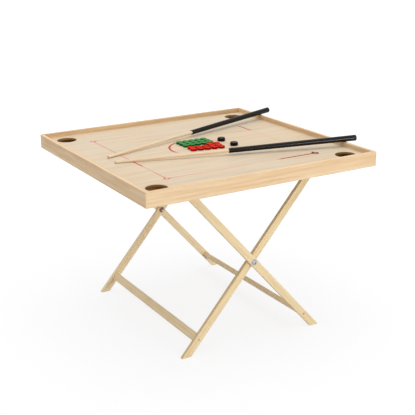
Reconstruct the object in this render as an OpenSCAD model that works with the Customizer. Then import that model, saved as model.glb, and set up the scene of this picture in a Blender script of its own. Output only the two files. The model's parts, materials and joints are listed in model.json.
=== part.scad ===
// Bob game table: a square playing tray with corner pockets that lifts off a
// folding scissor stand, with its discs, strikers and two cues laid out on it.
// Millimetres, +Z up. X runs along the front rail, the front rail is at -Y.
// The origin is on the floor, under the middle of the whole set's outline.

/* [Playing tray] */
// Outside width of the square tray
tray_w = 900; // [700:10:1100]
// Height of the tray's rails
rail_h = 52; // [46:1:70]
// Thickness of the rails
rail_t = 12; // [10:0.5:20]
// Radius on the long edges of the rails
rail_round = 1.5; // [0.5:0.5:3]
// Radius on the tray's upright corners
corner_round = 3; // [1:0.5:8]
// Depth of the playing surface below the rim
surface_drop = 17; // [12:1:22]
// Thickness of the playing board
board_t = 8; // [6:1:10]
// Depth of the groove that holds the board
groove_depth = 5; // [3:0.5:7]
// Gap between the board's edge and the bottom of the groove
groove_gap = 0.5; // [0.2:0.1:1]

/* [Corner pockets] */
// Diameter of the pocket holes
pocket_d = 72; // [60:1:80]
// Distance from a pocket's centre to the outside of the tray
pocket_in = 77; // [62:1:90]
// Bevel around the top of a pocket hole
pocket_bevel = 1; // [0.5:0.5:2]
// Room between the pocket hole and the fence under the board
fence_gap = 6; // [3:1:8]
// Thickness of the fence strips
fence_t = 8; // [6:1:12]
// Thickness of the pocket floors
pocket_floor_t = 4; // [3:0.5:6]
// How far the pocket floors lie above the rails' lower edge
pocket_floor_up = 1; // [0.5:0.5:3]
// Short side of the triangular blocks in the tray's corners
corner_block = 24; // [15:1:30]

/* [Seat under the tray] */
// Width of the stop battens that the stand bears against
batten_w = 18; // [12:1:22]
// Height of the stop battens and guide blocks
batten_h = 20; // [12:1:24]
// Thickness of the guide blocks beside the leg tops
guide_t = 15; // [10:1:20]
// Length of the guide blocks
guide_len = 40; // [25:1:60]
// Room between the stand's top and the battens and blocks
seat_clear = 1; // [0.5:0.5:2]
// Gap between the leg tops and the board
seat_gap = 0.3; // [0.1:0.1:0.5]
// Gap between the stop battens and the pocket fences
batten_gap = 2.2; // [1:0.1:4]

/* [Folding stand] */
// Height of the tray's rim above the floor
table_h = 652; // [560:1:760]
// Height of the pivot bolts above the floor
pivot_h = 302; // [250:1:340]
// Width over the outer frame's legs
frame_w = 722; // [560:1:760]
// Width of a leg, seen from the side
leg_w = 27; // [24:1:34]
// Thickness of a leg
leg_t = 15; // [12:1:20]
// Radius on the long edges of the legs and stretchers
leg_round = 1.5; // [0.5:0.5:3]
// Width of the stretchers and top rails
stretcher_w = 30; // [24:1:34]
// Thickness of the stretchers and top rails
stretcher_t = 15; // [12:1:18]
// Height of the stretchers' centre above the floor
stretcher_h = 56; // [45:1:90]
// Distance of the top rails' centre below the leg tops
top_rail_drop = 30; // [24:1:40]

/* [Pivot bolts] */
// Diameter of the bolts
bolt_d = 8; // [6:1:10]
// Diameter of the domed bolt heads
bolt_head_d = 18; // [14:1:22]
// Height of the domed bolt heads
bolt_head_h = 4.5; // [3:0.5:7]
// Size of the hex sockets in the bolt heads across their flats
socket_af = 6; // [4:1:8]
// Depth of the hex sockets
socket_depth = 3; // [2:0.5:4]
// Diameter of the washers
washer_d = 22; // [20:1:26]
// Thickness of the washers
washer_t = 1.5; // [1:0.5:2.5]
// Size of the nuts across their flats
nut_af = 13; // [11:0.5:17]
// Height of the nuts' six sided part
nut_h = 6; // [5:0.5:9]
// Height of the round collar on the nuts
nut_collar_h = 2; // [1:0.5:3]
// How far the bolts stand out of the nuts
bolt_end = 2.5; // [1:0.5:5]
// Side play of the inner frame between the washers
pivot_play = 0.2; // [0.1:0.1:0.5]
// Room around the bolts in the inner legs
pivot_fit = 0.08; // [0.03:0.01:0.1]
// Room around the bolts in the outer legs, washers and nuts
bolt_fit = 0.05; // [0.02:0.01:0.1]

/* [Wood screws] */
// Diameter of the leg screws
screw_d = 4; // [3:0.5:5]
// Diameter of the leg screws' heads
screw_head_d = 8; // [6.5:0.5:10]
// Length of the leg screws
screw_len = 45; // [35:1:60]
// Diameter of the tray screws
small_screw_d = 3; // [2.5:0.5:3.5]
// Diameter of the tray screws' heads
small_head_d = 6; // [5:0.5:7]
// Length of the screws through the pocket floors
floor_screw_len = 14; // [12:1:18]
// Width of the cross recess in the screws' heads
cross_w = 1; // [0.6:0.1:1.2]
// Depth of the cross recess
cross_depth = 1.2; // [0.8:0.1:1.4]
// How far the batten screws reach into the board
board_bite = 5; // [3:0.5:5]
// Room around a screw in its hole
screw_fit = 0.05; // [0.02:0.01:0.1]

/* [Discs and strikers] */
// Diameter of the discs
puck_d = 25; // [22:0.5:30]
// Thickness of the discs
puck_h = 8; // [6:0.5:10]
// Gap between neighbouring green discs
puck_gap = 0.4; // [0.3:0.1:2]
// Discs in a row of the green block
green_cols = 5; // [3:1:5]
// Rows in the green block
green_rows = 3; // [2:1:3]
// Gap between the red discs along a row
red_gap = 1.7; // [0.4:0.1:4]
// Gap between the rows of red discs
red_row_gap = 0.6; // [0.4:0.1:2]
// Place of the green block's middle, right of the tray's middle
green_mid = 8; // [0:1:20]
// Place of the green block's front row, behind the tray's middle
green_y = 32; // [26:1:40]
// Diameter of the strikers
striker_d = 29.4; // [26:0.2:34]
// Thickness of the strikers
striker_h = 12.5; // [10:0.5:15]
// Radius on the rims of the discs
puck_round = 1.5; // [0.5:0.5:2.5]
// Radius on the rims of the strikers
striker_round = 3; // [1:0.5:4]
// Width of the raised rim around the dished faces
puck_rim = 4; // [3:0.5:6]
// Depth of the dished faces
puck_dish = 1.2; // [0.4:0.2:2]
// Gap between a loose piece and what it lies on
rest_gap = 0.2; // [0.1:0.1:0.5]
// Place of the back striker, right of the tray's middle
back_striker_x = 112.5; // [105:0.5:130]
// Place of the back striker, behind the tray's middle
back_striker_y = 40; // [20:1:60]
// Place of the front striker, right of the tray's middle
front_striker_x = 116.5; // [105:0.5:130]
// Place of the front striker, in front of the tray's middle
front_striker_y = 44; // [20:1:60]

/* [Cues] */
// Length of a cue
cue_len = 885; // [700:5:1000]
// Diameter of the cue's tip
tip_d = 9; // [8:0.5:12]
// Length of the leather tip
tip_len = 4; // [3:0.5:6]
// Length of the ferrule
ferrule_len = 11; // [8:1:20]
// Diameter of the shaft where it enters the butt
shaft_d = 12.5; // [11:0.5:14]
// Length of the back cue's black butt with its bumper
back_butt_len = 461; // [300:1:520]
// Length of the front cue's black butt with its bumper
front_butt_len = 479; // [300:1:520]
// Diameter of the butt's front end
butt_front_d = 18; // [15:0.5:20]
// Diameter of the butt's back end
butt_back_d = 22; // [20:0.5:26]
// Length of the rubber bumper
bumper_len = 10; // [6:1:15]
// Radius on the bumper's edge
bumper_round = 3; // [1:0.5:4]
// Length of the shaft's tenon inside the butt
tenon_len = 60; // [40:1:80]
// Diameter of the tenon
tenon_d = 9; // [8:0.5:10]
// Length of the screwed stud that holds the bumper
stud_len = 14; // [8:1:20]
// Diameter of that stud
stud_d = 6; // [5:0.5:8]
// Turn of the back cue from the front rail's direction
back_cue_turn = 16.8; // [14:0.1:20]
// Turn of the front cue from the front rail's direction
front_cue_turn = -16.7; // [-20:0.1:-14]
// Place of the back cue's tip, left of the tray's middle
back_tip_x = 355; // [320:1:380]
// Place of the back cue's tip, behind the tray's middle
back_tip_y = 36; // [25:1:60]
// Place of the front cue's tip, left of the tray's middle
front_tip_x = 362; // [320:1:380]
// Place of the front cue's tip, in front of the tray's middle
front_tip_y = 37; // [25:1:60]

/* [Hidden] */
$fn = 48;

// Finishes
pine = "#E3C491";
pine_shade = "#D2AE7C";
birch = "#E6D5B8";
black = "#26231F";
steel = "#C9CCD0";
dark_steel = "#5A5550";
leather = "#7E6A55";
ivory = "#EDE7DA";

// Small overlap that lets a cut pass clean through a face
cut = 1;

// Heights of the tray
surface_z = table_h - surface_drop;
under_z = surface_z - board_t;
rail_z = table_h - rail_h;
tray_half = tray_w / 2;
well_half = tray_half - rail_t;

// Corner pockets
pocket_c = tray_half - pocket_in;
fence_in = pocket_c - pocket_d / 2 - fence_gap;
fence_out = fence_in - fence_t;
pocket_floor_z = rail_z + pocket_floor_up;
fence_z = pocket_floor_z + pocket_floor_t;
fence_h = under_z - fence_z;

// Stop battens beside the pockets, with the leg tops just inside them
seat_x = fence_out - batten_gap - batten_w;
leg_top_x = seat_x - seat_clear;

// The two frames lean against each other like a pair of scissors: the battens
// and the pivot's height set their lean, and so how far the feet spread
stand_h = under_z - seat_gap;
leg_angle = atan2(stand_h - pivot_h, leg_top_x) + asin(leg_w / (2 * norm([leg_top_x, stand_h - pivot_h])));
lean = 90 - leg_angle;
leg_reach = stand_h;
outer_half = frame_w / 2;
inner_half = outer_half - leg_t - washer_t - pivot_play;
stretcher_s = along_leg(stretcher_h);
top_rail_s = along_leg(stand_h - top_rail_drop);

// Distance from the pivot along a leg's centre line to the height z
function along_leg(z) = (z - pivot_h) / sin(leg_angle);

batten_len = 2 * (outer_half + seat_clear + guide_t);
batten_screw_y = batten_len / 3;

// Pivot stack, measured inwards from the outer leg's face
inner_leg_at = leg_t + washer_t + pivot_play;
inner_washer_at = inner_leg_at + leg_t + pivot_play;
nut_at = inner_washer_at + washer_t;
bolt_tip_at = nut_at + nut_h + nut_collar_h + bolt_end;

// Places of the discs, from the middle of the tray
puck_pitch = puck_d + puck_gap;
green_x = green_mid - puck_pitch * (green_cols - 1) / 2;
// The first red disc lies in front of the first green one, and the red block is turned a little
red_at = [green_x - 0.165 * puck_pitch, green_y - 2.5 * puck_pitch];
red_turn = -11;
red_pitch = puck_d + red_gap;
red_row_pitch = puck_d + red_row_gap;
// Each red row: discs, and where along the row the first one lies, in pitches
red_rows = [[5, 0], [5, -0.07], [2, 2.95]];

// A cue's tip lies on the board and its butt on the right rail. Each cue is
// given by its tip's place, its turn and its butt's length
back_cue = [-back_tip_x, back_tip_y, back_cue_turn, back_butt_len];
front_cue = [-front_tip_x, -front_tip_y, front_cue_turn, front_butt_len];
tip_axis_z = surface_z + rest_gap + tip_d / 2;
// Where a cue's butt starts, and its radius at the distance s from the tip
function butt_at(cue) = cue_len - cue[3];
function butt_r(cue, s) = (butt_front_d + (butt_back_d - butt_front_d) * (s - butt_at(cue)) / cue[3]) / 2;
// Rise of a cue's axis, seen from the front, that lays its butt on the rail's inner edge
function cue_slope(cue) =
    let (run = well_half - cue[0],
         drop = tip_axis_z - table_h,
         reach = norm([run, drop]),
         r = butt_r(cue, run / cos(cue[2])) + rest_gap)
    asin(r / reach) - asin(drop / reach);
function cue_rise(cue) = atan(tan(cue_slope(cue)) * cos(cue[2]));
// How far a cue's rounded bumper reaches along X
function cue_end(cue) =
    let (c = cos(cue_rise(cue)) * cos(cue[2]), r = butt_r(cue, cue_len - bumper_len))
    cue[0] + (cue_len - bumper_round) * c + (r - bumper_round) * sqrt(1 - c * c) + bumper_round;

// The set is centred on the floor: the cues reach past the right rail
set_right = max(tray_half, cue_end(back_cue), cue_end(front_cue));
set_x = (tray_half - set_right) / 2;

// Places its children by the tray's centre line
module placed() translate([set_x, 0, 0]) children();

// A w by t rectangle about the origin with rounded corners
module rounded_section(w, t, r) {
    square([w - 2 * r, t], center = true);
    square([w, t - 2 * r], center = true);
    for (x = [-1, 1], y = [-1, 1])
        translate([x * (w / 2 - r), y * (t / 2 - r)])
            circle(r);
}

// A countersunk screw, driven along +Z from the face at z = 0, or its hole where room is given
module screw(d, head_d, len, room = 0) {
    head_h = (head_d - d) / 2;
    difference() {
        union() {
            if (room > 0)
                translate([0, 0, -cut])
                    cylinder(h = cut, d = head_d + 2 * room);
            cylinder(h = head_h, d1 = head_d + 2 * room, d2 = d + 2 * room);
            cylinder(h = len - d, d = d + 2 * room);
            translate([0, 0, len - d])
                cylinder(h = d, d1 = d + 2 * room, d2 = 1);
        }
        if (room == 0)
            for (turn = [0, 90])
                rotate([0, 0, turn])
                    translate([-head_d / 4, -cross_w / 2, -cut])
                        cube([head_d / 2, cross_w, cross_depth + cut]);
    }
}

// Tray

// One rail along the front edge: a grooved section with mitred ends
module rail() {
    intersection() {
        translate([-tray_half, -tray_half, rail_z])
            rotate([90, 0, 90])
                linear_extrude(tray_w)
                    difference() {
                        translate([rail_t / 2, rail_h / 2])
                            rounded_section(rail_t, rail_h, rail_round);
                        translate([rail_t - groove_depth, rail_h - surface_drop - board_t])
                            square([groove_depth + cut, board_t]);
                    }
        translate([0, 0, rail_z - cut])
            linear_extrude(rail_h + 2 * cut)
                polygon([[-tray_half, -tray_half], [tray_half, -tray_half],
                         [well_half, -well_half], [-well_half, -well_half]]);
        translate([0, 0, rail_z - cut])
            linear_extrude(rail_h + 2 * cut)
                rounded_section(tray_w, tray_w, corner_round);
    }
}
module rail_front() color(pine) placed() rail();
module rail_right() color(pine) placed() rotate([0, 0, 90]) rail();
module rail_back() color(pine) placed() rotate([0, 0, 180]) rail();
module rail_left() color(pine) placed() rotate([0, 0, 270]) rail();

module board() {
    side = 2 * (well_half + groove_depth - groove_gap);
    color(birch) placed()
        difference() {
            translate([-side / 2, -side / 2, under_z])
                cube([side, side, board_t]);
            for (x = [-1, 1], y = [-1, 1])
                translate([x * pocket_c, y * pocket_c, under_z - cut]) {
                    cylinder(h = board_t + 2 * cut, d = pocket_d);
                    translate([0, 0, board_t + cut - pocket_bevel])
                        cylinder(h = 2 * pocket_bevel, d1 = pocket_d, d2 = pocket_d + 4 * pocket_bevel);
                }
            batten_screw_set(screw_fit);
        }
}

// Battens and blocks that keep the stand's leg tops in place

// Draws its children on both sides: -1 is the outer frame's left side, 1 the inner frame's right side
module stop_batten(side) {
    difference() {
        translate([side > 0 ? seat_x : -seat_x - batten_w, -batten_len / 2, under_z - batten_h])
            cube([batten_w, batten_len, batten_h]);
        batten_screw_set(screw_fit);
    }
}
module stop_batten_left() color(pine_shade) placed() stop_batten(-1);
module stop_batten_right() color(pine_shade) placed() stop_batten(1);

// A block beyond each of a frame's two leg tops
module guide_blocks(side, half) {
    difference() {
        for (end = [-1, 1])
            translate([side > 0 ? seat_x - guide_len : -seat_x,
                       end > 0 ? half + seat_clear : -half - seat_clear - guide_t,
                       under_z - batten_h])
                cube([guide_len, guide_t, batten_h]);
        batten_screw_set(screw_fit);
    }
}
module guide_blocks_left() color(pine_shade) placed() guide_blocks(-1, outer_half);
module guide_blocks_right() color(pine_shade) placed() guide_blocks(1, inner_half);

// Screws up through the battens and blocks into the board
module batten_screw_set(room = 0) {
    for (side = [-1, 1]) {
        half = side > 0 ? inner_half : outer_half;
        for (k = [-1, 0, 1])
            translate([side * (seat_x + batten_w / 2), k * batten_screw_y, under_z - batten_h])
                screw(small_screw_d, small_head_d, batten_h + board_bite, room);
        for (end = [-1, 1])
            translate([side * (seat_x - guide_len / 2), end * (half + seat_clear + guide_t / 2), under_z - batten_h])
                screw(small_screw_d, small_head_d, batten_h + board_bite, room);
    }
}
module batten_screws() color(dark_steel) placed() batten_screw_set();

// Pockets: each is drawn for the back right corner and turned to its own

// Two strips that close the pocket towards the middle of the tray
module pocket_fence() {
    difference() {
        union() {
            translate([fence_out, fence_out, fence_z])
                cube([fence_t, well_half - fence_out, fence_h]);
            translate([fence_in, fence_out, fence_z])
                cube([well_half - fence_in, fence_t, fence_h]);
        }
        pocket_screw_set(screw_fit);
    }
}
module pocket_floor() {
    side = well_half - fence_out;
    difference() {
        translate([fence_out, fence_out, pocket_floor_z])
            cube([side, side, pocket_floor_t]);
        pocket_screw_set(screw_fit);
    }
}
module corner_glue_block() {
    difference() {
        translate([well_half, well_half, fence_z])
            linear_extrude(fence_h)
                polygon([[0, 0], [-corner_block, 0], [0, -corner_block]]);
        pocket_screw_set(screw_fit);
    }
}
// Screws up through a pocket floor into its fence and corner block
module pocket_screw_set(room = 0) {
    fence_mid = fence_out + fence_t / 2;
    far = well_half - fence_t;
    block_mid = well_half - corner_block / 3;
    for (at = [[fence_mid, fence_mid], [fence_mid, far], [far, fence_mid], [block_mid, block_mid]])
        translate([at[0], at[1], pocket_floor_z])
            screw(small_screw_d, small_head_d, floor_screw_len, room);
}
module pocket_fence_back_right() color(pine_shade) placed() pocket_fence();
module pocket_fence_back_left() color(pine_shade) placed() rotate([0, 0, 90]) pocket_fence();
module pocket_fence_front_left() color(pine_shade) placed() rotate([0, 0, 180]) pocket_fence();
module pocket_fence_front_right() color(pine_shade) placed() rotate([0, 0, 270]) pocket_fence();
module pocket_floor_back_right() color(pine_shade) placed() pocket_floor();
module pocket_floor_back_left() color(pine_shade) placed() rotate([0, 0, 90]) pocket_floor();
module pocket_floor_front_left() color(pine_shade) placed() rotate([0, 0, 180]) pocket_floor();
module pocket_floor_front_right() color(pine_shade) placed() rotate([0, 0, 270]) pocket_floor();
module corner_blocks() color(pine_shade) placed() for (k = [0:3]) rotate([0, 0, 90 * k]) corner_glue_block();
module pocket_screws() color(dark_steel) placed() for (k = [0:3]) rotate([0, 0, 90 * k]) pocket_screw_set();

// Stand: side -1 is the outer frame, whose tops stand to the left, and side 1 the inner frame

// Local Z runs up the leaning frame and starts at the pivot
module leaning(side) translate([0, 0, pivot_h]) rotate([0, side * lean, 0]) children();

function frame_half(side) = side < 0 ? outer_half : inner_half;

// A leg at one end of a frame, cut level at the floor and under the board
module leg(side, end) {
    y = end * (frame_half(side) - leg_t / 2);
    fit = side < 0 ? bolt_fit : pivot_fit;
    difference() {
        intersection() {
            leaning(side)
                translate([0, y, -leg_reach])
                    linear_extrude(2 * leg_reach)
                        rounded_section(leg_w, leg_t, leg_round);
            translate([-tray_w, -tray_w, 0])
                cube([2 * tray_w, 2 * tray_w, stand_h]);
        }
        translate([0, y, pivot_h])
            rotate([90, 0, 0])
                cylinder(h = leg_t + 2 * cut, d = bolt_d + 2 * fit, center = true);
        frame_screws(side, screw_fit);
    }
}
// A board across a frame, between its legs, at the distance s from the pivot
module crosspiece(side, s) {
    difference() {
        leaning(side)
            translate([0, 0, s])
                rotate([90, 0, 0])
                    linear_extrude(2 * (frame_half(side) - leg_t), center = true)
                        rounded_section(stretcher_t, stretcher_w, leg_round);
        frame_screws(side, screw_fit);
    }
}
// Screws through the legs into the ends of the stretcher and the top rail
module frame_screws(side, room = 0) {
    leaning(side)
        for (end = [-1, 1], s = [stretcher_s, top_rail_s])
            translate([0, end * frame_half(side), s])
                rotate([end * 90, 0, 0])
                    screw(screw_d, screw_head_d, screw_len, room);
}
module leg_outer_near() color(pine) placed() leg(-1, -1);
module leg_outer_far() color(pine) placed() leg(-1, 1);
module leg_inner_near() color(pine) placed() leg(1, -1);
module leg_inner_far() color(pine) placed() leg(1, 1);
module stretcher_outer() color(pine_shade) placed() crosspiece(-1, stretcher_s);
module stretcher_inner() color(pine_shade) placed() crosspiece(1, stretcher_s);
module top_rail_outer() color(pine_shade) placed() crosspiece(-1, top_rail_s);
module top_rail_inner() color(pine_shade) placed() crosspiece(1, top_rail_s);
module screws_outer() color(dark_steel) placed() frame_screws(-1);
module screws_inner() color(dark_steel) placed() frame_screws(1);

// Local Z runs inwards along a pivot bolt from the outer leg's face
module pivot(end) translate([0, end * outer_half, pivot_h]) rotate([end * 90, 0, 0]) children();

// A bolt with a low domed head outside the outer washer and a hex socket in it
module pivot_bolt(end) {
    dome_r = (pow(bolt_head_d / 2, 2) + pow(bolt_head_h, 2)) / (2 * bolt_head_h);
    pivot(end)
        difference() {
            union() {
                translate([0, 0, -washer_t])
                    cylinder(h = bolt_tip_at + washer_t, d = bolt_d);
                intersection() {
                    translate([0, 0, dome_r - washer_t - bolt_head_h])
                        sphere(dome_r);
                    translate([0, 0, -washer_t - 2 * bolt_head_h])
                        cylinder(h = 2 * bolt_head_h, d = bolt_head_d + cut);
                }
            }
            translate([0, 0, -washer_t - bolt_head_h - cut])
                cylinder(h = socket_depth + cut, d = socket_af / cos(30), $fn = 6);
        }
}
module pivot_nut(end) {
    pivot(end)
        translate([0, 0, nut_at])
            difference() {
                union() {
                    cylinder(h = nut_h, d = nut_af / cos(30), $fn = 6);
                    cylinder(h = nut_h + nut_collar_h, d = nut_af - cut);
                }
                translate([0, 0, -cut])
                    cylinder(h = nut_h + nut_collar_h + 2 * cut, d = bolt_d + 2 * bolt_fit);
            }
}
// The washers that lie at one depth of both pivots
module washers(at) {
    for (end = [-1, 1])
        pivot(end)
            translate([0, 0, at])
                difference() {
                    cylinder(h = washer_t, d = washer_d);
                    translate([0, 0, -cut])
                        cylinder(h = washer_t + 2 * cut, d = bolt_d + 2 * bolt_fit);
                }
}
module pivot_bolt_near() color(steel) placed() pivot_bolt(-1);
module pivot_bolt_far() color(steel) placed() pivot_bolt(1);
module pivot_nut_near() color(dark_steel) placed() pivot_nut(-1);
module pivot_nut_far() color(dark_steel) placed() pivot_nut(1);
module washers_outer() color(steel) placed() washers(-washer_t);
module washers_middle() color(steel) placed() washers(leg_t);
module washers_inner() color(steel) placed() washers(inner_washer_at);

// Discs and strikers

// A round disc with rims rounded to r and both faces dished
module disc(d, h, r) {
    dish_r = d / 2 - puck_rim;
    dish = [[0, 0], [dish_r - puck_dish, 0], [dish_r, puck_dish], [dish_r, puck_dish + cut], [0, puck_dish + cut]];
    rotate_extrude()
        difference() {
            union() {
                square([d / 2 - r, h]);
                translate([0, r])
                    square([d / 2, h - 2 * r]);
                for (y = [r, h - r])
                    translate([d / 2 - r, y])
                        circle(r);
            }
            translate([0, h - puck_dish])
                polygon(dish);
            translate([0, puck_dish])
                mirror([0, 1])
                    polygon(dish);
        }
}
module green_pucks() color("#2E7D3F") placed()
    for (i = [0 : green_cols - 1], j = [0 : green_rows - 1])
        translate([green_x + i * puck_pitch, green_y + j * puck_pitch, surface_z + rest_gap])
            disc(puck_d, puck_h, puck_round);
module red_pucks() color("#C81E0A") placed()
    translate([red_at[0], red_at[1], surface_z + rest_gap])
        rotate([0, 0, red_turn])
            for (j = [0 : len(red_rows) - 1], i = [0 : red_rows[j][0] - 1])
                translate([(red_rows[j][1] + i) * red_pitch, j * red_row_pitch, 0])
                    disc(puck_d, puck_h, puck_round);
module striker(x, y) translate([x, y, surface_z + rest_gap]) disc(striker_d, striker_h, striker_round);
module striker_back() color(black) placed() striker(back_striker_x, back_striker_y);
module striker_front() color(black) placed() striker(front_striker_x, -front_striker_y);

// Cues

// Local X runs up the cue from its tip
module on_cue(cue) translate([cue[0], cue[1], tip_axis_z]) rotate([0, -cue_rise(cue), cue[2]]) children();

// A round length of cue from the distance s, with its two diameters
module turned(s, len, d1, d2) translate([s, 0, 0]) rotate([0, 90, 0]) cylinder(h = len, d1 = d1, d2 = d2);

// A leather tip with a crowned end
module cue_tip() {
    intersection() {
        turned(0, tip_len, tip_d, tip_d);
        translate([tip_d * 0.7, 0, 0])
            sphere(tip_d * 0.7);
    }
}
module cue_ferrule() turned(tip_len, ferrule_len, tip_d, tip_d);
module cue_shaft(cue) {
    s = tip_len + ferrule_len;
    turned(s, butt_at(cue) - s, tip_d, shaft_d);
    turned(butt_at(cue), tenon_len, tenon_d, tenon_d);
}
module cue_butt(cue) {
    back_at = cue_len - bumper_len;
    difference() {
        turned(butt_at(cue), back_at - butt_at(cue), butt_front_d, 2 * butt_r(cue, back_at));
        turned(butt_at(cue) - cut, tenon_len + cut, tenon_d + 2 * bolt_fit, tenon_d + 2 * bolt_fit);
        turned(back_at - stud_len, stud_len + cut, stud_d + 2 * bolt_fit, stud_d + 2 * bolt_fit);
    }
}
// A rubber bumper with a rounded edge, held by a stud in the butt
module cue_bumper(cue) {
    back_at = cue_len - bumper_len;
    r = butt_r(cue, back_at);
    translate([back_at, 0, 0])
        rotate([0, 90, 0])
            rotate_extrude() {
                square([r - bumper_round, bumper_len]);
                square([r, bumper_len - bumper_round]);
                translate([r - bumper_round, bumper_len - bumper_round])
                    circle(bumper_round);
            }
    turned(back_at - stud_len, stud_len, stud_d, stud_d);
}
module cue_back_tip() color(leather) placed() on_cue(back_cue) cue_tip();
module cue_back_ferrule() color(ivory) placed() on_cue(back_cue) cue_ferrule();
module cue_back_shaft() color(pine) placed() on_cue(back_cue) cue_shaft(back_cue);
module cue_back_butt() color(black) placed() on_cue(back_cue) cue_butt(back_cue);
module cue_back_bumper() color(black) placed() on_cue(back_cue) cue_bumper(back_cue);
module cue_front_tip() color(leather) placed() on_cue(front_cue) cue_tip();
module cue_front_ferrule() color(ivory) placed() on_cue(front_cue) cue_ferrule();
module cue_front_shaft() color(pine) placed() on_cue(front_cue) cue_shaft(front_cue);
module cue_front_butt() color(black) placed() on_cue(front_cue) cue_butt(front_cue);
module cue_front_bumper() color(black) placed() on_cue(front_cue) cue_bumper(front_cue);

leg_outer_near();
leg_outer_far();
stretcher_outer();
top_rail_outer();
screws_outer();
leg_inner_near();
leg_inner_far();
stretcher_inner();
top_rail_inner();
screws_inner();
pivot_bolt_near();
pivot_bolt_far();
pivot_nut_near();
pivot_nut_far();
washers_outer();
washers_middle();
washers_inner();
rail_front();
rail_right();
rail_back();
rail_left();
board();
stop_batten_left();
stop_batten_right();
guide_blocks_left();
guide_blocks_right();
batten_screws();
pocket_fence_front_left();
pocket_fence_front_right();
pocket_fence_back_right();
pocket_fence_back_left();
pocket_floor_front_left();
pocket_floor_front_right();
pocket_floor_back_right();
pocket_floor_back_left();
corner_blocks();
pocket_screws();
green_pucks();
red_pucks();
striker_back();
striker_front();
cue_back_tip();
cue_back_ferrule();
cue_back_shaft();
cue_back_butt();
cue_back_bumper();
cue_front_tip();
cue_front_ferrule();
cue_front_shaft();
cue_front_butt();
cue_front_bumper();
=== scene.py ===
"""Looks for the bob game table: a square tray on a folding stand, its discs, strikers and cues.

Everything is in metres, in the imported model's frame: X along the front rail, Y to the back rail
and Z up from the floor. Sizes that the model already has are read from it.
"""

import json
import logging
import math
from dataclasses import dataclass, field, replace
from enum import Enum

import bpy
from mathutils import Matrix, Vector

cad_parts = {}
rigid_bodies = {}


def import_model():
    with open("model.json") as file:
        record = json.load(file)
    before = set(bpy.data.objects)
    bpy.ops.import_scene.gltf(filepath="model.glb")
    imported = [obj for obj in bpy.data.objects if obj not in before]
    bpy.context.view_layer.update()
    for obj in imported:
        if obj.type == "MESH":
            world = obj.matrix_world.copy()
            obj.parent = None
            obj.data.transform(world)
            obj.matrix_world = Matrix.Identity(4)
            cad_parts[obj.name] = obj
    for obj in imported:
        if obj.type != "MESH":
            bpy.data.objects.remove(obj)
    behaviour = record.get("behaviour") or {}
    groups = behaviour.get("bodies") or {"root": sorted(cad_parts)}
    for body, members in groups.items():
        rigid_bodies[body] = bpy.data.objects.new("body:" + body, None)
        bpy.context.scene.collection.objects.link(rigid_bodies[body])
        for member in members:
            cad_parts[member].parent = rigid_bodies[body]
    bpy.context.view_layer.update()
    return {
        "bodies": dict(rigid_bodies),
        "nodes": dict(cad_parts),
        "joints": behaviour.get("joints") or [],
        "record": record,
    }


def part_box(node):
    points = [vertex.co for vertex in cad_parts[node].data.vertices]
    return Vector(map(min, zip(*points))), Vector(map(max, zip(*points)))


logging.basicConfig(level=logging.INFO, format="%(message)s")
log = logging.getLogger("bob_table")

Rgba = tuple[float, float, float, float]
Socket = bpy.types.NodeSocket
Tree = bpy.types.ShaderNodeTree

MM = 0.001
ALONG_FRONT = Vector((1, 0, 0))
ALONG_SIDE = Vector((0, 1, 0))
# The sRGB curve is a straight line up to its knee and a power curve above it
SRGB_KNEE, SRGB_SLOPE, SRGB_LIFT, SRGB_POWER = 0.04045, 12.92, 0.055, 2.4
# Inputs of the colour Mix node go by number, because their names repeat, and so does its output
SHARE, UNDER, OVER, MIXED = 0, 6, 7, 2
# A Wave texture of scale 1 has 20 / (2 pi) rings to the metre
RING_SCALE = 2 * math.pi / 20
# The range that a noise texture seldom leaves
NOISE_LOW, NOISE_HIGH = 0.3, 0.7


# Colour and node helpers


class Ramp(Enum):
    """How a layer of colour grows between its two limits."""

    STRAIGHT = "LINEAR"
    SOFT = "SMOOTHSTEP"


def colour(hex_code: str) -> Rgba:
    """Turns an sRGB hex value into the linear colour that a shader takes.

    Args:
        hex_code: Six hex digits, without a hash sign.

    Returns:
        Red, green, blue and alpha, linear.
    """
    shares = [int(hex_code[i : i + 2], 16) / 255 for i in (0, 2, 4)]
    linear = [
        s / SRGB_SLOPE if s <= SRGB_KNEE else ((s + SRGB_LIFT) / (1 + SRGB_LIFT)) ** SRGB_POWER
        for s in shares
    ]
    return (linear[0], linear[1], linear[2], 1.0)


def add(
    tree: Tree, kind: str, sockets: dict | None = None, **settings: object
) -> bpy.types.ShaderNode:
    """Adds a node with its settings, and links or fills its sockets.

    Args:
        tree: The material's or world's node tree.
        kind: The node's type name.
        sockets: Input name or number, with an output to link or a value to set.
        **settings: The node's own properties.

    Returns:
        The new node.
    """
    node = tree.nodes.new(kind)
    for name, value in settings.items():
        setattr(node, name, value)
    for name, value in (sockets or {}).items():
        if isinstance(value, Socket):
            tree.links.new(value, node.inputs[name])
        else:
            node.inputs[name].default_value = value
    return node


def new_material(name: str) -> tuple[bpy.types.Material, Tree, Socket]:
    """Makes an empty node material.

    Args:
        name: The material's name.

    Returns:
        The material, its cleared node tree, and each point's place in the object.
    """
    material = bpy.data.materials.new(name)
    material.use_nodes = True
    tree = material.node_tree
    tree.nodes.clear()
    return material, tree, add(tree, "ShaderNodeTexCoord").outputs["Object"]


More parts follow.
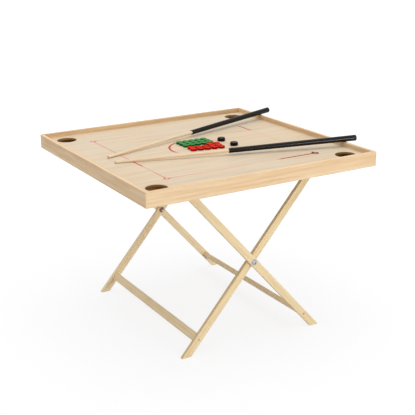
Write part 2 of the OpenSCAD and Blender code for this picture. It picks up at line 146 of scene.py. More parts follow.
def layer(
    tree: Tree,
    pattern: Socket,
    limits: tuple[float, float],
    under: Socket | Rgba,
    over: str,
    most: float = 1.0,
    ramp: Ramp = Ramp.STRAIGHT,
) -> Socket:
    """Lays a colour over another one where a pattern is strong.

    Args:
        tree: The material's node tree.
        pattern: The pattern that says where.
        limits: The pattern's values where the upper colour begins and where it is fullest.
        under: The colour below.
        over: The upper colour, as an sRGB hex value.
        most: The upper colour's share where it is fullest.
        ramp: How the upper colour grows between the limits.

    Returns:
        The mixed colour.
    """
    share = add(
        tree,
        "ShaderNodeMapRange",
        {"Value": pattern, "From Min": limits[0], "From Max": limits[1], "To Max": most},
        interpolation_type=ramp.value,
    ).outputs[0]
    return add(
        tree,
        "ShaderNodeMix",
        {SHARE: share, UNDER: under, OVER: colour(over)},
        data_type="RGBA",
    ).outputs[MIXED]


def add_surface(
    tree: Tree, pattern: Socket, roughness: float, spread: tuple[float, float], sockets: dict
) -> None:
    """Ends a material with a shader whose roughness changes with a pattern.

    Args:
        tree: The material's node tree.
        pattern: A noise pattern.
        roughness: The finish's usual roughness.
        spread: How far the roughness falls below and rises above that.
        sockets: The shader's other inputs.
    """
    gloss = add(
        tree,
        "ShaderNodeMapRange",
        {
            "Value": pattern,
            "From Min": NOISE_LOW,
            "From Max": NOISE_HIGH,
            "To Min": roughness - spread[0],
            "To Max": roughness + spread[1],
        },
    ).outputs[0]
    shader = add(tree, "ShaderNodeBsdfPrincipled", {"Roughness": gloss, **sockets})
    add(tree, "ShaderNodeOutputMaterial", {"Surface": shader.outputs[0]})


def streaky(tree: Tree, spot: Socket, size: float, stretch: float, **noise: float) -> Socket:
    """Draws a noise pattern whose spots are drawn out along X into streaks.

    Args:
        tree: The material's node tree.
        spot: The places that the pattern reads.
        size: The pattern's size across the streaks.
        stretch: A streak's width over its length.
        **noise: The Noise texture's other inputs, such as Detail.

    Returns:
        The pattern.
    """
    long_spot = add(
        tree, "ShaderNodeMapping", {"Vector": spot, "Scale": (stretch, 1.0, 1.0)}
    ).outputs[0]
    return add(
        tree, "ShaderNodeTexNoise", {"Vector": long_spot, "Scale": 1 / size, **noise}
    ).outputs["Fac"]


def levelness(tree: Tree) -> Socket:
    """Finds how level the surface is.

    Args:
        tree: The material's node tree.

    Returns:
        1 on a level face, whether it looks up or down, and 0 on an upright one.
    """
    normal = add(tree, "ShaderNodeNewGeometry").outputs["Normal"]
    upright = add(tree, "ShaderNodeSeparateXYZ", {"Vector": normal}).outputs[2]
    return add(tree, "ShaderNodeMath", {0: upright}, operation="ABSOLUTE").outputs[0]


# Finishes


@dataclass(frozen=True)
class Wood:
    """Planed and varnished wood: growth rings about a far pith, fibres and a slow change of tone.

    Each piece is cut from its own place in the log: a step further along it, and off its pith.
    """

    name: str
    early: str
    late: str
    tone: str
    # The real rings are 3 to 5 mm wide, which is under a pixel here, so they are drawn wider
    ring: float = 11 * MM
    ring_limits: tuple[float, float] = (0.25, 0.95)
    wobble: float = 5.0
    contrast: float = 0.3
    stretch: float = 0.05
    # Streaks of several fibre bundles, drawn about twice as wide as real ones so that they show
    fibre: float = 2 * 6 * MM
    fibre_limits: tuple[float, float] = (0.42, 0.68)
    fibre_stretch: float = 0.06
    fibre_depth: float = 0.15 * MM
    relief: float = 0.25
    streak: float = 0.5
    tone_size: float = 45 * MM
    tone_limits: tuple[float, float] = (0.38, 0.66)
    tone_share: float = 0.55
    roughness: float = 0.5
    gloss_spread: tuple[float, float] = (0.06, 0.08)
    # Varnish has about 1.5, which shines too much here: the real one is rubbed to a dull satin
    ior: float = 1.25
    log_step: float = 0.83
    pith: tuple[float, float] = (0.11, -0.09)
    pith_step: tuple[float, float] = (0.013, -0.017)
    # How many places off the pith there are each way before they come round again
    pith_places: tuple[int, int] = (5, 3)

    def cut(self, number: int) -> tuple[float, float, float]:
        """Works out where in the log a piece lies.

        Args:
            number: The piece's own number.

        Returns:
            How far along the log, and how far off its pith two ways.
        """
        across, up = (
            self.pith[i] + self.pith_step[i] * (number % self.pith_places[i]) for i in (0, 1)
        )
        return (self.log_step * number, across, up)

    def make(self, along: Vector, number: int) -> bpy.types.Material:
        """Builds the wood of one piece.

        Args:
            along: The way the grain runs.
            number: A number of the piece's own, which moves it to another part of the log.

        Returns:
            The material.
        """
        material, tree, spot = new_material(f"{self.name}_{number}")
        turn = along.normalized().to_track_quat("X", "Z").inverted().to_euler("XYZ")
        log_spot = add(
            tree,
            "ShaderNodeMapping",
            {"Vector": spot, "Rotation": turn, "Location": self.cut(number)},
        ).outputs[0]
        fibres = streaky(
            tree, log_spot, self.fibre, self.fibre_stretch, Detail=3.0, Roughness=0.65
        )
        relief = add(
            tree,
            "ShaderNodeBump",
            {"Height": fibres, "Strength": self.relief, "Distance": self.fibre_depth},
        ).outputs[0]
        shown = self.figure(tree, log_spot, fibres)
        look = {"Base Color": shown, "IOR": self.ior, "Normal": relief}
        add_surface(tree, fibres, self.roughness, self.gloss_spread, look)
        return material

    def figure(self, tree: Tree, log_spot: Socket, fibres: Socket) -> Socket:
        """Colours the wood's rings, its slow change of tone and its fibres.

        Args:
            tree: The material's node tree.
            log_spot: Places in the log.
            fibres: The pattern of the fibres.

        Returns:
            The wood's colour.
        """
        long_spot = add(
            tree, "ShaderNodeMapping", {"Vector": log_spot, "Scale": (self.stretch, 1.0, 1.0)}
        ).outputs[0]
        rings = add(
            tree,
            "ShaderNodeTexWave",
            {
                "Vector": long_spot,
                "Scale": RING_SCALE / self.ring,
                "Distortion": self.wobble,
                "Detail": 2.0,
                "Detail Scale": 0.35,
                "Detail Roughness": 0.6,
            },
            wave_type="RINGS",
            rings_direction="X",
            wave_profile="SIN",
        ).outputs["Fac"]
        tones = add(
            tree,
            "ShaderNodeTexNoise",
            {"Vector": long_spot, "Scale": 1 / self.tone_size, "Detail": 2.0, "Roughness": 0.5},
        ).outputs["Fac"]
        early = colour(self.early)
        ringed = layer(tree, rings, self.ring_limits, early, self.late, self.contrast, Ramp.SOFT)
        toned = layer(tree, tones, self.tone_limits, ringed, self.tone, self.tone_share)
        return layer(tree, fibres, self.fibre_limits, toned, self.late, self.streak)


@dataclass(frozen=True)
class Patch:
    """A soft round area of the board, in metres from its middle, where the print has kept its ink.

    An ink of 1 is a full line, and above 1 the line has also bled wider. The ink is even over the
    core, which is a share of the reach, and fades out from there.
    """

    x: float
    y: float
    reach: float
    ink: float
    core: float = 0.6


@dataclass(frozen=True)
class Streaks:
    """One size of streak in a sliced veneer: its shape, and its share of the darker colour."""

    size: float
    stretch: float
    roughness: float
    distortion: float
    share: float


@dataclass(frozen=True)
class PrintedPly:
    """Sliced birch plywood with thin red playing lines, varnished, and with its edges coloured
    dark brown as painted shade in the pocket holes.

    It looks creamy with long straight streaks, and the screen-printed lines lie flat in it.
    """

    name: str = "printed_birch_ply"
    pale: str = "DACAB0"
    warm: str = "DBBF9E"
    streak: str = "C5AB8B"
    # Dark brown on every edge of the board: painted shade for the walls of the pocket holes
    painted_edge_shade: str = "9A7A4C"
    # Streaks about 12 mm wide and ten times as long, with fibres of about 3 mm in them
    figure: tuple[Streaks, ...] = (
        Streaks(24 * MM, stretch=0.07, roughness=0.6, distortion=0.3, share=0.5),
        Streaks(7 * MM, stretch=0.03, roughness=0.65, distortion=0.0, share=0.45),
    )
    figure_limits: tuple[float, float] = (0.45, 0.75)
    warm_size: float = 260 * MM
    warm_limits: tuple[float, float] = (0.35, 0.65)
    warm_share: float = 0.45
    # Birch pores are finer than this, and are drawn coarser so that they catch the light
    pore: float = 4 * MM
    pore_stretch: float = 0.03
    pore_depth: float = 0.1 * MM
    relief: float = 0.15
    # A face is an edge of the board where it is less level than this
    edge_level: float = 0.85
    roughness: float = 0.42
    # Varnish has about 1.5, which shines too much here: the real one is rubbed to a dull satin
    ior: float = 1.2
    line: str = "D23F30"
    thick_line: str = "7A1A10"
    square: float = 298 * MM
    ring: float = 10.5 * MM
    circle: float = 114.5 * MM
    line_w: float = 3.4 * MM
    circle_w: float = 4.4 * MM
    soft_edge: float = 0.2 * MM
    full_ink: float = 1.0
    worn_ink: float = 0.3
    thick_ink: tuple[float, float] = (1.2, 2.8)
    # The print is rubbed thin by play. Most is left on the left line and at the front right corner
    patches: tuple[Patch, ...] = (
        Patch(-0.36, 0.19, 0.17, 0.8),
        Patch(-0.298, 0.04, 0.1, 0.8),
        Patch(-0.298, -0.085, 0.05, 1.7),
        Patch(-0.298, -0.26, 0.08, 0.9),
        Patch(-0.298, -0.14, 0.14, 0.55),
        Patch(-0.298, -0.3, 0.03, 1.3),
        Patch(-0.298, 0.298, 0.03, 1.2),
        Patch(-0.12, -0.298, 0.2, 0.7),
        Patch(0.215, -0.298, 0.095, 2.5),
        Patch(0.298, -0.298, 0.026, 2.8),
        Patch(0.298, 0.17, 0.06, 1.9),
        Patch(-0.1, 0.06, 0.11, 1.8),
        Patch(0.07, -0.095, 0.05, 1.0),
    )

    def make(self, middle: Vector, surface: float, thickness: float) -> bpy.types.Material:
        """Builds the board's material.

        Args:
            middle: The middle of the playing surface.
            surface: The height of the playing surface.
            thickness: The board's thickness.

        Returns:
            The material.
        """
        material, tree, spot = new_material(self.name)
        centred = add(
            tree, "ShaderNodeMapping", {"Vector": spot, "Location": (-middle.x, -middle.y, 0.0)}
        ).outputs[0]
        marked = self.marks(tree, centred, self.veneer(tree, centred), surface - thickness / 2)
        # The board's edges take the dark brown, as painted shade in the pocket holes
        edge = add(
            tree, "ShaderNodeMath", {0: levelness(tree), 1: self.edge_level}, operation="LESS_THAN"
        ).outputs[0]
        edged = add(
            tree,
            "ShaderNodeMix",
            {SHARE: edge, UNDER: marked, OVER: colour(self.painted_edge_shade)},
            data_type="RGBA",
        ).outputs[MIXED]
        pores = streaky(tree, centred, self.pore, self.pore_stretch, Detail=4.0)
        relief = add(
            tree,
            "ShaderNodeBump",
            {"Height": pores, "Strength": self.relief, "Distance": self.pore_depth},
        ).outputs[0]
        shader = add(
            tree,
            "ShaderNodeBsdfPrincipled",
            {"Base Color": edged, "Roughness": self.roughness, "IOR": self.ior, "Normal": relief},
        )
        add(tree, "ShaderNodeOutputMaterial", {"Surface": shader.outputs[0]})
        return material

    def veneer(self, tree: Tree, centred: Socket) -> Socket:
        """Draws the veneer's long straight streaks along the front rail.

        Args:
            tree: The material's node tree.
            centred: Places measured from the board's middle.

        Returns:
            The veneer's colour.
        """
        slow = add(
            tree,
            "ShaderNodeTexNoise",
            {"Vector": centred, "Scale": 1 / self.warm_size, "Detail": 1.0},
        ).outputs["Fac"]
        pale = colour(self.pale)
        drawn = layer(tree, slow, self.warm_limits, pale, self.warm, self.warm_share)
        for streaks in self.figure:
            pattern = streaky(
                tree,
                centred,
                streaks.size,
                streaks.stretch,
                Detail=3.0,
                Roughness=streaks.roughness,
                Distortion=streaks.distortion,
            )
            drawn = layer(tree, pattern, self.figure_limits, drawn, self.streak, streaks.share)
        return drawn

    def marks(self, tree: Tree, centred: Socket, under: Socket, lowest: float) -> Socket:
        """Prints the square with its corner rings and the middle circle on the veneer.

        Args:
            tree: The material's node tree.
            centred: Places measured from the board's middle.
            under: The veneer's colour.
            lowest: The height below which nothing is printed.

        Returns:
            The printed colour.
        """
        parts = add(tree, "ShaderNodeSeparateXYZ", {"Vector": centred}).outputs
        flat = add(
            tree, "ShaderNodeCombineXYZ", {"X": parts[0], "Y": parts[1], "Z": 0.0}
        ).outputs[0]
        ink = self.wear(tree, flat)
        # The board is folded onto one quarter, so that one line and one ring serve all four
        across = [
            add(tree, "ShaderNodeMath", {0: parts[i]}, operation="ABSOLUTE").outputs[0]
            for i in (0, 1)
        ]
        folded = add(
            tree, "ShaderNodeCombineXYZ", {"X": across[0], "Y": across[1], "Z": 0.0}
        ).outputs[0]
        from_corner = add(
            tree,
            "ShaderNodeVectorMath",
            {0: folded, 1: (self.square, self.square, 0.0)},
            operation="DISTANCE",
        ).outputs["Value"]
        clear_of_ring = add(
            tree, "ShaderNodeMath", {0: from_corner, 1: self.ring}, operation="GREATER_THAN"
        ).outputs[0]
        outwards = add(
            tree, "ShaderNodeMath", {0: across[0], 1: across[1]}, operation="MAXIMUM"
        ).outputs[0]
        printed = add(
            tree,
            "ShaderNodeMath",
            {0: self.stroke(tree, outwards, self.square, self.line_w, ink), 1: clear_of_ring},
            operation="MULTIPLY",
        ).outputs[0]
        from_middle = add(
            tree, "ShaderNodeVectorMath", {0: flat}, operation="LENGTH"
        ).outputs["Value"]
        rings = self.stroke(tree, from_corner, self.ring - self.line_w / 2, self.line_w, ink)
        circle = self.stroke(tree, from_middle, self.circle, self.circle_w, ink)
        on_top = add(
            tree, "ShaderNodeMath", {0: parts[2], 1: lowest}, operation="GREATER_THAN"
        ).outputs[0]
        held = add(tree, "ShaderNodeMath", {0: ink, 1: self.full_ink}, operation="MINIMUM")
        for other, operation in (
            (rings, "MAXIMUM"),
            (circle, "MAXIMUM"),
            (on_top, "MULTIPLY"),
            (held.outputs[0], "MULTIPLY"),
        ):
            printed = add(
                tree, "ShaderNodeMath", {0: printed, 1: other}, operation=operation
            ).outputs[0]
        shade = layer(tree, ink, self.thick_ink, colour(self.line), self.thick_line)
        return add(
            tree, "ShaderNodeMix", {SHARE: printed, UNDER: under, OVER: shade}, data_type="RGBA"
        ).outputs[MIXED]

    def wear(self, tree: Tree, flat: Socket) -> Socket:
        """Works out how much ink play has left in each place, where 1 is a full line.

        Args:
            tree: The material's node tree.
            flat: Places measured from the board's middle, with no height.

        Returns:
            The ink that is left.
        """
        left: Socket | float = self.worn_ink
        for patch in self.patches:
            away = add(
                tree,
                "ShaderNodeVectorMath",
                {0: flat, 1: (patch.x, patch.y, 0.0)},
                operation="DISTANCE",
            ).outputs["Value"]
            kept = add(
                tree,
                "ShaderNodeMapRange",
                {
                    "Value": away,
                    "From Min": patch.core * patch.reach,
                    "From Max": patch.reach,
                    "To Min": patch.ink,
                    "To Max": 0.0,
                },
                interpolation_type=Ramp.SOFT.value,
            ).outputs[0]
            left = add(tree, "ShaderNodeMath", {0: left, 1: kept}, operation="MAXIMUM").outputs[0]
        return left

    def stroke(
        self, tree: Tree, distance: Socket, at: float, width: float, ink: Socket
    ) -> Socket:
        """Draws a line where a distance has one value, wider where the ink is thick.

        Args:
            tree: The material's node tree.
            distance: The distance from the figure's middle.
            at: The distance at which the line lies.
            width: The line's width where the ink is full.
            ink: The ink in each place.

        Returns:
            1 on the line and 0 beside it, with a soft edge.
        """
        half = width / 2
        off = add(tree, "ShaderNodeMath", {0: distance, 1: at}, operation="SUBTRACT").outputs[0]
        aside = add(tree, "ShaderNodeMath", {0: off}, operation="ABSOLUTE").outputs[0]
        over = add(
            tree, "ShaderNodeMath", {0: ink, 1: self.full_ink}, operation="MAXIMUM"
        ).outputs[0]
        # Ink beyond a full line widens the line by half a width on each side
        bled = add(
            tree, "ShaderNodeMath", {0: over, 1: half, 2: -half}, operation="MULTIPLY_ADD"
        ).outputs[0]
        away = add(tree, "ShaderNodeMath", {0: aside, 1: bled}, operation="SUBTRACT").outputs[0]
        return add(
            tree,
            "ShaderNodeMapRange",
            {
                "Value": away,
                "From Min": half - self.soft_edge,
                "From Max": half + self.soft_edge,
                "To Min": 1.0,
                "To Max": 0.0,
            },
        ).outputs[0]


@dataclass(frozen=True)
class Moulded:
    """A hard, even material with a fine grain in its skin, such as polystyrene or lacquer."""

    name: str
    tint: str
    shade: str
    # The real grain is under 0.2 mm, and is drawn coarser so that it breaks up the shine
    grain: float = 0.8 * MM
    grain_depth: float = 0.05 * MM
    relief: float = 0.1
    cloud: float = 18 * MM
    cloud_limits: tuple[float, float] = (0.35, 0.7)
    roughness: float = 0.3
    gloss_spread: tuple[float, float] = (0.05, 0.07)
    ior: float = 1.5
    # The paler colour painted on level faces as a highlight on the tops, or none, and how level
    # such a face is
    painted_highlight: str = ""
    face_level: tuple[float, float] = (0.9, 0.995)

    def make(self) -> bpy.types.Material:
        """Builds the material.

        Returns:
            The material.
        """
        material, tree, spot = new_material(self.name)
        grain = add(
            tree,
            "ShaderNodeTexNoise",
            {"Vector": spot, "Scale": 1 / self.grain, "Detail": 3.0, "Roughness": 0.6},
        ).outputs["Fac"]
        clouds = add(
            tree, "ShaderNodeTexNoise", {"Vector": spot, "Scale": 1 / self.cloud, "Detail": 2.0}
        ).outputs["Fac"]
        shown = layer(tree, clouds, self.cloud_limits, colour(self.tint), self.shade)
        # Level faces take the paler colour: a painted highlight on the tops
        if self.painted_highlight:
            shown = layer(tree, levelness(tree), self.face_level, shown, self.painted_highlight)
        bumped = add(
            tree,
            "ShaderNodeBump",
            {"Height": grain, "Strength": self.relief, "Distance": self.grain_depth},
        ).outputs[0]
        look = {"Base Color": shown, "IOR": self.ior, "Normal": bumped}
        add_surface(tree, grain, self.roughness, self.gloss_spread, look)
        return material


@dataclass(frozen=True)
class Steel:
    """Plated or oiled steel: cloudy where its skin has dulled, with fine scratches."""

    name: str
    tint: str
    dull: str
    cloud: float = 5 * MM
    cloud_limits: tuple[float, float] = (0.4, 0.7)
    # Real scratches are under 0.1 mm wide, and are drawn coarser so that they show
    scratch: float = 0.6 * MM
    scratch_depth: float = 0.03 * MM
    relief: float = 0.1
    roughness: float = 0.4
    gloss_spread: tuple[float, float] = (0.06, 0.1)

    def make(self) -> bpy.types.Material:
        """Builds the material.

        Returns:
            The material.
        """
        material, tree, spot = new_material(self.name)
        clouds = add(
            tree, "ShaderNodeTexNoise", {"Vector": spot, "Scale": 1 / self.cloud, "Detail": 4.0}
        ).outputs["Fac"]
        scratches = add(
            tree, "ShaderNodeTexNoise", {"Vector": spot, "Scale": 1 / self.scratch, "Detail": 2.0}
        ).outputs["Fac"]
        bumped = add(
            tree,
            "ShaderNodeBump",
            {"Height": scratches, "Strength": self.relief, "Distance": self.scratch_depth},
        ).outputs[0]
        shown = layer(tree, clouds, self.cloud_limits, colour(self.tint), self.dull)
        look = {"Base Color": shown, "Metallic": 1.0, "Normal": bumped}
        add_surface(tree, clouds, self.roughness, self.gloss_spread, look)
        return material


# Pine rails, planed and varnished: cream with soft orange bands of late wood
RAIL_PINE = Wood(
    name="rail_pine",
    early="E8D0AB",
    late="CFA474",
    tone="E3C096",
    ring=14 * MM,
    wobble=12.0,
    contrast=0.22,
    stretch=0.13,
)
# The back rail's wood is darker than the others: painted shade for its inner face, which faces the
# board and gets less light
BACK_PINE_SHADED = replace(
    RAIL_PINE, name="rail_pine_painted_shade", early="E0C49D", late="BA9060", tone="D3B083"
)
# The left rail's wood is paler than the others: painted light for its outer face, which gets
# little light
LEFT_PINE_PAINTED_LIGHT = replace(
    RAIL_PINE, name="rail_pine_painted_light", early="ECD2AC", late="CFA371", tone="E4C196"
)
# The near legs' pine: straighter in its grain and a little yellower than the rails
LEG_PINE = Wood(
    name="leg_pine",
    early="EAD5AC",
    late="D1B282",
    tone="E2C89A",
    ring=9 * MM,
    wobble=4.0,
    contrast=0.25,
    fibre=2 * 4 * MM,
)
# The far legs, the stretchers and the top rails take paler wood than the near legs: painted light
# against the tray's shadow
FAR_PINE_PAINTED_LIGHT = replace(LEG_PINE, name="leg_pine_painted_light", early="F9E6C1", late="DFC394", tone="F1D8AE")
# Planed pine without varnish, dull and a shade darker, which only shows from below
BLOCK_PINE = Wood("block_pine", "DDBB8B", "BF9560", "D3AC78", roughness=0.62)
# Pine coloured brown, darker than the other pine, as painted shade so that the pockets read as
# holes
POCKET_PINE = Wood("pocket_pine", "C39F68", "977A4D", "AE8D5C", roughness=0.7)
# The front right pocket's wood is darker still: more painted shade, as that pocket shows darker
POCKET_PINE_PAINTED_SHADE = Wood("pocket_pine_deep", "94703A", "725529", "836232", roughness=0.7)
# Turned ash with a smooth varnish: fine straight grain, a tone darker than the board
SHAFT_ASH = Wood(
    name="shaft_ash",
    early="E8D4B4",
    late="D2B790",
    tone="DFC8A6",
    ring=4 * MM,
    wobble=2.0,
    fibre=2 * 2 * MM,
    roughness=0.38,
)
# Moulded polystyrene: deep and even on the rims, with a soft shine, and painted paler on its level
# faces as a painted highlight.
# Its IOR is really 1.59, and a lower one keeps the white room from greying the colours.
GREEN_PLASTIC = Moulded(
    "green_polystyrene", "126A26", "0C521A", roughness=0.25, ior=1.14, painted_highlight="3A9542"
)
RED_PLASTIC = Moulded(
    "red_polystyrene", "B81406", "A00E03", roughness=0.32, ior=1.08, painted_highlight="DC2A10"
)
# The strikers' level faces are painted paler too, as a painted highlight
BLACK_PLASTIC = Moulded(
    "black_polystyrene", "151410", "0F0E0C", roughness=0.3, ior=1.17, painted_highlight="2E2E28"
)
# Black lacquer brushed over turned wood: even, with a thin bright line of gloss along the butt
BUTT_LACQUER = Moulded(
    "black_lacquer", "17110B", "110D08", grain=2 * MM, roughness=0.17, ior=1.27
)
# Moulded rubber: black, dull and grainy
BUMPER_RUBBER = Moulded("black_rubber", "1F1E1C", "181715", roughness=0.7, ior=1.36, relief=0.3)
# Pressed leather: tan, matt and uneven
TIP_LEATHER = Moulded(
    "pressed_leather", "D9BC9A", "C6A783", grain=0.6 * MM, roughness=0.8, relief=0.5
)
# Turned horn: pale and faintly clouded, with a low polish
FERRULE_HORN = Moulded("pale_horn", "E6D2B4", "DAC4A2", grain=1.5 * MM, roughness=0.35)
# Bright zinc plate gone grey: broad highlights, no mirror
ZINC = Steel("zinc_plate", "B7B5B7", "9D9B9F", roughness=0.48)
# Steel in a dull brown, darker than the zinc: painted shade on the nuts and the inner washers,
# which sit in the tray's shadow
STEEL_PAINTED_SHADE = Steel("oiled_dark_steel", "B79C89", "9F8371", roughness=0.85)
# Yellow passivated zinc, which hardly shows on the pine
YELLOW_ZINC = Steel("yellow_zinc", "C4AE84", "A8946A")

# The cues, each with a wood number of its own
CUES = {"back": 31, "front": 32}


# Sub-assemblies


def paint(node: bpy.types.Object, material: bpy.types.Material) -> None:
    """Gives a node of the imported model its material.

    Args:
        node: The node's object.
        material: The finish.
    """
    node.data.materials.clear()
    node.data.materials.append(material)
    log.info("dressed %s with %s", node.name, material.name)


@dataclass
class Tray:
    """The square tray: rails, playing board, seat blocks and pockets."""

    nodes: dict[str, bpy.types.Object]
    # The back rail's darker wood is painted shade, and the left rail's paler wood is painted light
    rails: dict[str, tuple[Vector, Wood]] = field(
        default_factory=lambda: {
            "rail_front": (ALONG_FRONT, RAIL_PINE),
            "rail_right": (ALONG_SIDE, RAIL_PINE),
            "rail_back": (ALONG_FRONT, BACK_PINE_SHADED),
            "rail_left": (ALONG_SIDE, LEFT_PINE_PAINTED_LIGHT),
        }
    )
    # Wood numbers, which place each piece in the log. The rails count up from the first
    first_number: int = 1
    block_number: int = 21
    pocket_number: int = 22
    shaded_pocket_number: int = 23

    def middle(self) -> Vector:
        """Finds the tray's middle from its rails.

        Returns:
            The middle, at the height of the rim.
        """
        low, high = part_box("rail_front")
        _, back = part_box("rail_back")
        return Vector(((low.x + high.x) / 2, (low.y + back.y) / 2, high.z))

    def dress(self) -> None:
        """Gives every piece of the tray its finish."""
        for number, (name, (along, wood)) in enumerate(self.rails.items(), self.first_number):
            paint(self.nodes[name], wood.make(along, number))
        low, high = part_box("board")
        paint(self.nodes["board"], PrintedPly().make(self.middle(), high.z, high.z - low.z))
        block = BLOCK_PINE.make(ALONG_SIDE, self.block_number)
        pocket = POCKET_PINE.make(ALONG_FRONT, self.pocket_number)
        # The front right pocket takes a darker wood, as painted shade
        shaded_pocket = POCKET_PINE_PAINTED_SHADE.make(ALONG_FRONT, self.shaded_pocket_number)
        for name, node in self.nodes.items():
            if name.startswith(("stop_batten", "guide_blocks")):
                paint(node, block)
            elif name.startswith(("pocket_fence", "pocket_floor", "corner_blocks")):
                paint(node, shaded_pocket if name.endswith("front_right") else pocket)
        screws = YELLOW_ZINC.make()
        for name in ("batten_screws", "pocket_screws"):
            paint(self.nodes[name], screws)


class StandFrame(Enum):
    """The stand's two frames, with the way along X that their leg tops lean."""

    OUTER = -1
    INNER = 1


@dataclass
class Stand:
    """The folding stand: two frames that turn on a pair of bolts."""

    nodes: dict[str, bpy.types.Object]
    leg_woods: dict[str, Wood] = field(default_factory=lambda: {"near": LEG_PINE, "far": FAR_PINE_PAINTED_LIGHT})
    # The wood number of the first piece, from which the others count up
    first_number: int = 5

    def lean(self, frame: StandFrame) -> Vector:
        """Works out the way a frame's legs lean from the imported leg.

        Args:
            frame: The outer or the inner frame.

        Returns:
            A direction up along the leg.
        """
        low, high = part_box(f"leg_{frame.name.lower()}_near")
        return Vector((frame.value * (high.x - low.x), 0, high.z - low.z)).normalized()

    def dress(self) -> None:
        """Gives every piece of the stand its finish."""
        number = self.first_number
        for frame in StandFrame:
            side = frame.name.lower()
            cuts = [
                (f"leg_{side}_{end}", wood, self.lean(frame))
                for end, wood in self.leg_woods.items()
            ]
            # The stretchers and top rails take the far legs' paler wood, painted light against the
            # tray's shadow
            cuts += [(f"{bar}_{side}", FAR_PINE_PAINTED_LIGHT, ALONG_SIDE) for bar in ("stretcher", "top_rail")]
            for name, wood, along in cuts:
                paint(self.nodes[name], wood.make(along, number))
                number += 1
        zinc, shaded_steel, yellow = ZINC.make(), STEEL_PAINTED_SHADE.make(), YELLOW_ZINC.make()
        for name, node in self.nodes.items():
            if name.startswith("pivot_nut") or name == "washers_inner":
                paint(node, shaded_steel)
            elif name.startswith(("pivot_bolt", "washers")):
                paint(node, zinc)
            elif name in ("screws_outer", "screws_inner"):
                paint(node, yellow)


@dataclass
class Discs:
    """The loose playing pieces, moulded with a rounded rim round a slightly dished face."""

    nodes: dict[str, bpy.types.Object]
    finishes: dict[str, Moulded] = field(
        default_factory=lambda: {
            "green_pucks": GREEN_PLASTIC,
            "red_pucks": RED_PLASTIC,
            "striker_back": BLACK_PLASTIC,
            "striker_front": BLACK_PLASTIC,
        }
    )

    def dress(self) -> None:
        """Gives every disc and striker its finish."""
        for name, finish in self.finishes.items():
            paint(self.nodes[name], finish.make())


@dataclass
class Cue:
    """One cue: leather tip, ferrule, shaft, lacquered butt and rubber bumper."""

    nodes: dict[str, bpy.types.Object]
    place: str
    number: int

    def along(self) -> Vector:
        """Works out the way the cue points from its two ends.

        Returns:
            A direction from the tip to the butt.
        """
        tip_low, tip_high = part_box(f"cue_{self.place}_tip")
        end_low, end_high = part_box(f"cue_{self.place}_bumper")
        return ((end_low + end_high) / 2 - (tip_low + tip_high) / 2).normalized()

    def dress(self) -> None:
        """Gives every piece of the cue its finish."""
        finishes = {
            "tip": TIP_LEATHER.make(),
            "ferrule": FERRULE_HORN.make(),
            "shaft": SHAFT_ASH.make(self.along(), self.number),
            "butt": BUTT_LACQUER.make(),
            "bumper": BUMPER_RUBBER.make(),
        }
        for part, material in finishes.items():
            paint(self.nodes[f"cue_{self.place}_{part}"], material)


# Studio


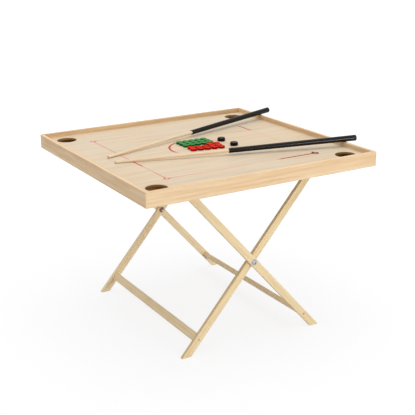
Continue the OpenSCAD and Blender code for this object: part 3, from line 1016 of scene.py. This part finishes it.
@dataclass
class WhiteRoom:
    """A white paper floor in a pale room, which the camera and every gloss see as plain white.

    What lights the table is dimmer than what is seen: the walls are dark below a pale ceiling.
    """

    floor_size: float = 40.0
    # Only the seen paper keeps a shadow. Its glow grows outwards until it meets the white room
    seen_paper: str = "7B7B7B"
    seen_glow: str = "FEFEFF"
    near_glow: float = 0.805
    far_glow: float = 0.94
    glow_from: float = 0.8
    glow_to: float = 2.4
    # The paper throws more light up at the table than its own shade would
    lit_paper: str = "CFCFCF"
    paper_light: float = 0.06
    # Heights are the upward part of a direction, from 0 at eye level to 1 overhead
    white: str = "FFFFFF"
    room_tint: str = "FBFBFC"
    wall_light: float = 0.06
    wall_height: float = 0.1
    ceiling_light: float = 1.18
    ceiling_height: float = 0.8

    def build(self) -> None:
        """Lays the floor and sets up the room round it."""
        self.floor()
        self.world()

    def seen(self, tree: Tree) -> Socket:
        """Picks the rays that see the room as the camera does, also off metal or through glass.

        Args:
            tree: The floor's or the world's node tree.

        Returns:
            1 for such a ray, and 0 for one that only lights the table.
        """
        path = add(tree, "ShaderNodeLightPath").outputs
        seen = path["Is Camera Ray"]
        for kind in ("Is Glossy Ray", "Is Transmission Ray"):
            seen = add(
                tree, "ShaderNodeMath", {0: seen, 1: path[kind]}, operation="MAXIMUM"
            ).outputs[0]
        return seen

    def floor(self) -> None:
        """Lays a white floor that keeps the table's soft shadow and fades into the white room."""
        bpy.ops.mesh.primitive_plane_add(size=self.floor_size, location=(0, 0, 0))
        plane = bpy.context.object
        plane.name = "studio_floor"
        material, tree, spot = new_material("studio_white")
        away = add(tree, "ShaderNodeVectorMath", {0: spot}, operation="LENGTH").outputs["Value"]
        lift = add(
            tree,
            "ShaderNodeMapRange",
            {
                "Value": away,
                "From Min": self.glow_from,
                "From Max": self.glow_to,
                "To Min": self.near_glow,
                "To Max": self.far_glow,
            },
            interpolation_type=Ramp.SOFT.value,
        ).outputs[0]
        paper = add(tree, "ShaderNodeBsdfDiffuse", {"Color": colour(self.lit_paper)}).outputs[0]
        light = add(tree, "ShaderNodeEmission", {"Strength": self.paper_light}).outputs[0]
        bounce = add(tree, "ShaderNodeAddShader", {0: paper, 1: light}).outputs[0]
        shade = add(tree, "ShaderNodeBsdfDiffuse", {"Color": colour(self.seen_paper)}).outputs[0]
        glow = add(
            tree, "ShaderNodeEmission", {"Color": colour(self.seen_glow), "Strength": lift}
        ).outputs[0]
        white = add(tree, "ShaderNodeAddShader", {0: shade, 1: glow}).outputs[0]
        mixed = add(tree, "ShaderNodeMixShader", {0: self.seen(tree), 1: bounce, 2: white})
        add(tree, "ShaderNodeOutputMaterial", {"Surface": mixed.outputs[0]})
        plane.data.materials.append(material)

    def world(self) -> None:
        """Lights the room from a pale ceiling over dimmer walls, and shows it white."""
        world = bpy.data.worlds.new("studio")
        bpy.context.scene.world = world
        world.use_nodes = True
        tree = world.node_tree
        tree.nodes.clear()
        way = add(tree, "ShaderNodeTexCoord").outputs["Generated"]
        height = add(tree, "ShaderNodeSeparateXYZ", {"Vector": way}).outputs[2]
        level = add(
            tree,
            "ShaderNodeMapRange",
            {
                "Value": height,
                "From Min": self.wall_height,
                "From Max": self.ceiling_height,
                "To Min": self.wall_light,
                "To Max": self.ceiling_light,
            },
        ).outputs[0]
        room = add(
            tree, "ShaderNodeBackground", {"Color": colour(self.room_tint), "Strength": level}
        ).outputs[0]
        white = add(
            tree, "ShaderNodeBackground", {"Color": colour(self.white), "Strength": 1.0}
        ).outputs[0]
        mixed = add(tree, "ShaderNodeMixShader", {0: self.seen(tree), 1: room, 2: white})
        add(tree, "ShaderNodeOutputWorld", {"Surface": mixed.outputs[0]})


@dataclass(frozen=True)
class SoftLamp:
    """A square soft lamp that faces the table: its place, its sides' length and its watts."""

    name: str
    place: tuple[float, float, float]
    size: float
    power: float
    aim_height: float = 0.4

    def hang(self) -> None:
        """Hangs the lamp in the scene."""
        bpy.ops.object.light_add(type="AREA", location=self.place)
        lamp = bpy.context.object
        lamp.name = self.name
        lamp.data.shape = "SQUARE"
        lamp.data.size = self.size
        lamp.data.energy = self.power
        away = Vector(self.place) - Vector((0, 0, self.aim_height))
        lamp.rotation_euler = away.to_track_quat("Z", "Y").to_euler()


# Most light comes from in front of the front rail, and a little from the left and from above
LAMPS = (
    SoftLamp("key_light", (2.2, -3.4, 3.0), size=2.4, power=14.0),
    SoftLamp("front_fill", (1.4, -9.0, 1.3), size=2.4, power=316.0),
    SoftLamp("left_fill", (-6.0, -1.0, 1.5), size=3.0, power=22.0),
    SoftLamp("top_light", (0.3, 0.6, 4.2), size=3.0, power=34.0),
)


@dataclass
class PhotoCamera:
    """The photograph's camera, with its angles in degrees and its sensor in millimetres."""

    aim: Vector
    azimuth: float = -30.05
    elevation: float = 18.10
    roll: float = -0.81
    distance: float = 2.5653
    aim_shift: tuple[float, float] = (-0.3646, -0.6742)
    focal_px: float = 900.6
    photo_px: int = 415
    sensor: float = 36.0
    reach: float = 100.0

    def build(self) -> None:
        """Sets the camera where the photograph was taken from."""
        turn, rise = math.radians(self.azimuth), math.radians(self.elevation)
        back = Vector(
            (math.sin(turn) * math.cos(rise), -math.cos(turn) * math.cos(rise), math.sin(rise))
        )
        right = (-back).cross(Vector((0, 0, 1))).normalized()
        up = right.cross(-back)
        tilt = math.radians(self.roll)
        right, up = (
            right * math.cos(tilt) + up * math.sin(tilt),
            up * math.cos(tilt) - right * math.sin(tilt),
        )
        target = self.aim + Vector((self.aim_shift[0], self.aim_shift[1], 0))
        place = target + back * self.distance
        data = bpy.data.cameras.new("photo_camera")
        data.sensor_fit = "HORIZONTAL"
        data.sensor_width = self.sensor
        data.lens = self.focal_px * self.sensor / self.photo_px
        data.clip_end = self.reach
        camera = bpy.data.objects.new("photo_camera", data)
        bpy.context.scene.collection.objects.link(camera)
        rows = [[right[i], up[i], back[i], place[i]] for i in range(3)] + [[0, 0, 0, 1]]
        camera.matrix_world = Matrix(rows)
        bpy.context.scene.camera = camera


def main() -> None:
    """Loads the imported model, sets up the studio and dresses every piece."""
    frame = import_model()
    bpy.ops.object.select_all(action="DESELECT")
    bpy.context.scene.view_settings.view_transform = "Standard"
    nodes = frame["nodes"]
    tray = Tray(nodes)
    WhiteRoom().build()
    for lamp in LAMPS:
        lamp.hang()
    PhotoCamera(tray.middle()).build()
    tray.dress()
    Stand(nodes).dress()
    Discs(nodes).dress()
    for place, number in CUES.items():
        Cue(nodes, place, number).dress()


if __name__ == "__main__":
    main()
